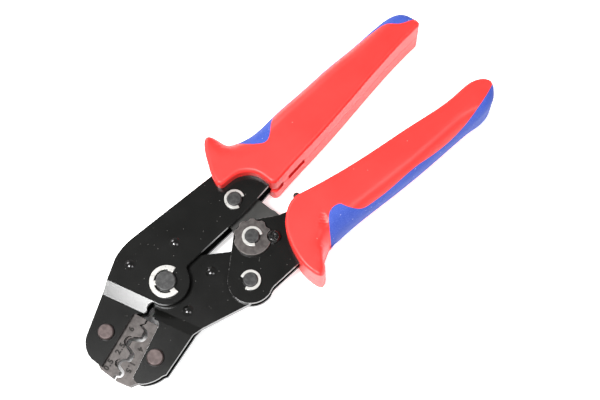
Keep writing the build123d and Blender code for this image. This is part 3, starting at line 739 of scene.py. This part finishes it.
def cross_recess(node, arm, width, depth):
    """Cuts a cross with tapered arms into the top of a screw head."""
    low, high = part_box(node)
    centre = Vector(((low.x + high.x) / 2, (low.y + high.y) / 2, high.z))
    cutter = bmesh.new()
    for size in ((arm, width), (width, arm)):
        made = bmesh.ops.create_cube(cutter, size=1.0)
        bmesh.ops.scale(cutter, vec=(size[0] * MM, size[1] * MM, 2 * depth * MM), verts=made["verts"])
        for v in made["verts"]:
            if v.co.z < 0.0:
                v.co.x *= ARM_TAPER
                v.co.y *= ARM_TAPER
    turn = Matrix.Translation(centre) @ Matrix.Rotation(CROSS_TURN, 4, "Z")
    bmesh.ops.transform(cutter, matrix=turn, verts=cutter.verts)
    tool_mesh = bpy.data.meshes.new("cutter")
    cutter.to_mesh(tool_mesh)
    cutter.free()
    tool = bpy.data.objects.new("cutter", tool_mesh)
    bpy.context.scene.collection.objects.link(tool)
    head = bpy.data.objects.new("head", frame["nodes"][node].data.copy())
    bpy.context.scene.collection.objects.link(head)
    cut = head.modifiers.new("recess", "BOOLEAN")
    cut.object = tool
    cut.operation = "DIFFERENCE"
    cut.solver = "EXACT"
    cut.use_self = True
    bpy.context.view_layer.update()
    shape = bmesh.new()
    shape.from_mesh(head.evaluated_get(bpy.context.evaluated_depsgraph_get()).to_mesh())
    bpy.data.objects.remove(head)
    bpy.data.objects.remove(tool)
    bmesh.ops.remove_doubles(shape, verts=shape.verts, dist=SAME_PLACE)
    bmesh.ops.dissolve_limit(shape, angle_limit=FLAT, verts=shape.verts, edges=shape.edges)
    round_edges(shape, BURR * MM, segments=1)
    piece = as_piece(shape, "cross_" + node, body_of[node], finish_for(node))
    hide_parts(node)
    print(node, len(piece.data.polygons), "faces")


cross_recess("lock_screw", arm=3.0, width=0.75, depth=0.8)

# %% [markdown]
# The dies carry the section of wire that each nest takes, stamped beside it and blackened. Text is made
# a thin closed mesh, sunk nearly flush with the top of the die. The two dies are read from opposite
# sides, so their numbers are turned half round.

# %% Size numbers on the dies
DIE_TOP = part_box("die_fixed")[1].z
MARK_LIFT = 0.012
MARK_SIZE = 3.0 * MM
MARK_WEIGHT = 0.15 * MM
MARKS = [
    ("6", (-21.4, -5.4), 20.0, "die_fixed"),
    ("2.5", (-29.2, -8.7), 20.0, "die_fixed"),
    ("0.5", (-36.3, -10.8), 20.0, "die_fixed"),
    ("4", (-23.4, -13.7), 203.0, "die_moving"),
    ("1.5", (-30.5, -16.8), 203.0, "die_moving"),
]


def stamped(text, place, turn, node):
    words = bpy.data.curves.new("mark", "FONT")
    words.body = text
    words.size = MARK_SIZE
    words.align_x = "CENTER"
    words.align_y = "CENTER"
    words.space_character = 1.25
    words.extrude = MARK_LIFT * MM
    words.offset = MARK_WEIGHT
    holder = bpy.data.objects.new("mark", words)
    shape = taken(holder)
    bmesh.ops.remove_doubles(shape, verts=shape.verts, dist=SAME_PLACE)
    height = DIE_TOP - MARK_LIFT * MM * 0.9
    spin = Matrix.Rotation(math.radians(turn), 4, "Z")
    there = Matrix.Translation((place[0] * MM, place[1] * MM, height))
    bmesh.ops.transform(shape, matrix=there @ spin, verts=shape.verts)
    name = "mark_" + text.replace(".", "_")
    as_piece(shape, name, body_of[node], finishes["stamped_dark"], weighted=False)


for mark in MARKS:
    stamped(*mark)
print(len(MARKS), "marks")

# %% [markdown]
# ## Pieces that keep their mechanical shape
# Rivets, dowels and spacer tubes are right as they are, so they only get their finish.

# %% Finishes for the pieces that keep their mechanical shape
for node, piece in frame["nodes"].items():
    piece.data.materials.clear()
    piece.data.materials.append(finish_for(node))

# %% [markdown]
# ## Table, light and camera
# The table is pale and slightly luminous, which keeps it white and its shadows faint. The glow is left
# out under the jaws, so that the gap between the dies stays dark.

# %% Table
bpy.ops.mesh.primitive_plane_add(size=6.0, location=(0.0, 0.0, 0.0))
table = bpy.context.object
table.name = "table"
paper = Finish("pale_table", Roughness=0.9, Specular_IOR_Level=0.2)
paper.colour(paper.mix(paper.noise(60 * MM, 2.0), rgb(0.93, 0.93, 0.925), rgb(0.96, 0.96, 0.96)))
under = paper.node(
    "ShaderNodeMapping", {"vector_type": "POINT"},
    {"Vector": paper.place(), "Location": (16 * MM, 1 * MM, 0.0), "Scale": (1.0, 1.0, 0.0)},
)
under = paper.node(
    "ShaderNodeMapping", {"vector_type": "POINT"},
    {"Vector": under, "Rotation": (0.0, 0.0, math.radians(-22)), "Scale": (0.55, 1.0, 0.0)},
)
reach = paper.node("ShaderNodeVectorMath", {"operation": "LENGTH"}, {0: under}, output="Value")
paper.feed(
    paper.surface.inputs["Emission Color"],
    paper.mix(paper.step(reach, 11 * MM, 17 * MM), rgb(0.0, 0.0, 0.0), rgb(1.0, 1.0, 1.0)),
)
paper.surface.inputs["Emission Strength"].default_value = 0.62
table.data.materials.append(paper.material)

# %% [markdown]
# There are three soft boxes and a sky that darkens overhead. The flats of the plates mirror the dark
# part of the sky, and the step in the frame plates mirrors the box on the left, so it shines.

# %% Light
world = bpy.data.worlds.new("sky")
bpy.context.scene.world = world
world.use_nodes = True
sky = world.node_tree
shade = sky.nodes["Background"]
shade.inputs["Strength"].default_value = 1.0
ramp = sky.nodes.new("ShaderNodeValToRGB")
ramp.color_ramp.elements[0].position, ramp.color_ramp.elements[0].color = 0.1, rgb(0.46, 0.46, 0.46)
ramp.color_ramp.elements[1].position, ramp.color_ramp.elements[1].color = 0.9, rgb(0.10, 0.10, 0.105)
heights = sky.nodes.new("ShaderNodeSeparateXYZ")
sky.links.new(sky.nodes.new("ShaderNodeTexCoord").outputs["Generated"], heights.inputs[0])
sky.links.new(heights.outputs["Z"], ramp.inputs[0])
sky.links.new(ramp.outputs["Color"], shade.inputs["Color"])


def soft_box(name, towards, distance, size, power):
    """A square area light in a direction, aimed at the middle of the pliers."""
    lamp = bpy.data.lights.new(name, "AREA")
    lamp.size = size
    lamp.energy = power
    light = bpy.data.objects.new(name, lamp)
    aim = Vector((0.045, 0.0, 0.01))
    way = Vector(towards).normalized()
    light.location = aim + way * distance
    light.rotation_euler = way.to_track_quat("Z", "Y").to_euler()
    bpy.context.scene.collection.objects.link(light)
    return light


soft_box("box_left", (-0.37, 0.03, 0.93), 1.1, 0.32, 17.0)
soft_box("box_front", (0.22, -0.55, 0.80), 1.2, 0.45, 5.0)
soft_box("box_back", (-0.06, 0.82, 0.57), 1.3, 0.42, 8.0)

# %% [markdown]
# The camera looks almost straight down from in front of the nose, with a moderately long lens.

# %% Camera
PLACE = Vector((-14.372, -119.909, 424.290)) * MM
RIGHT = Vector((0.77255, -0.63410, -0.03295))
BACK = Vector((-0.174, -0.261, 0.949)).normalized()
RIGHT = (RIGHT - RIGHT.dot(BACK) * BACK).normalized()
UP = BACK.cross(RIGHT)
lens = bpy.data.cameras.new("view")
lens.sensor_width = 36.0
lens.lens = 65.7
camera = bpy.data.objects.new("view", lens)
camera.matrix_world = Matrix.Translation(PLACE) @ Matrix((RIGHT, UP, BACK)).transposed().to_4x4()
bpy.context.scene.collection.objects.link(camera)
bpy.context.scene.camera = camera
bpy.context.scene.view_settings.view_transform = "Standard"
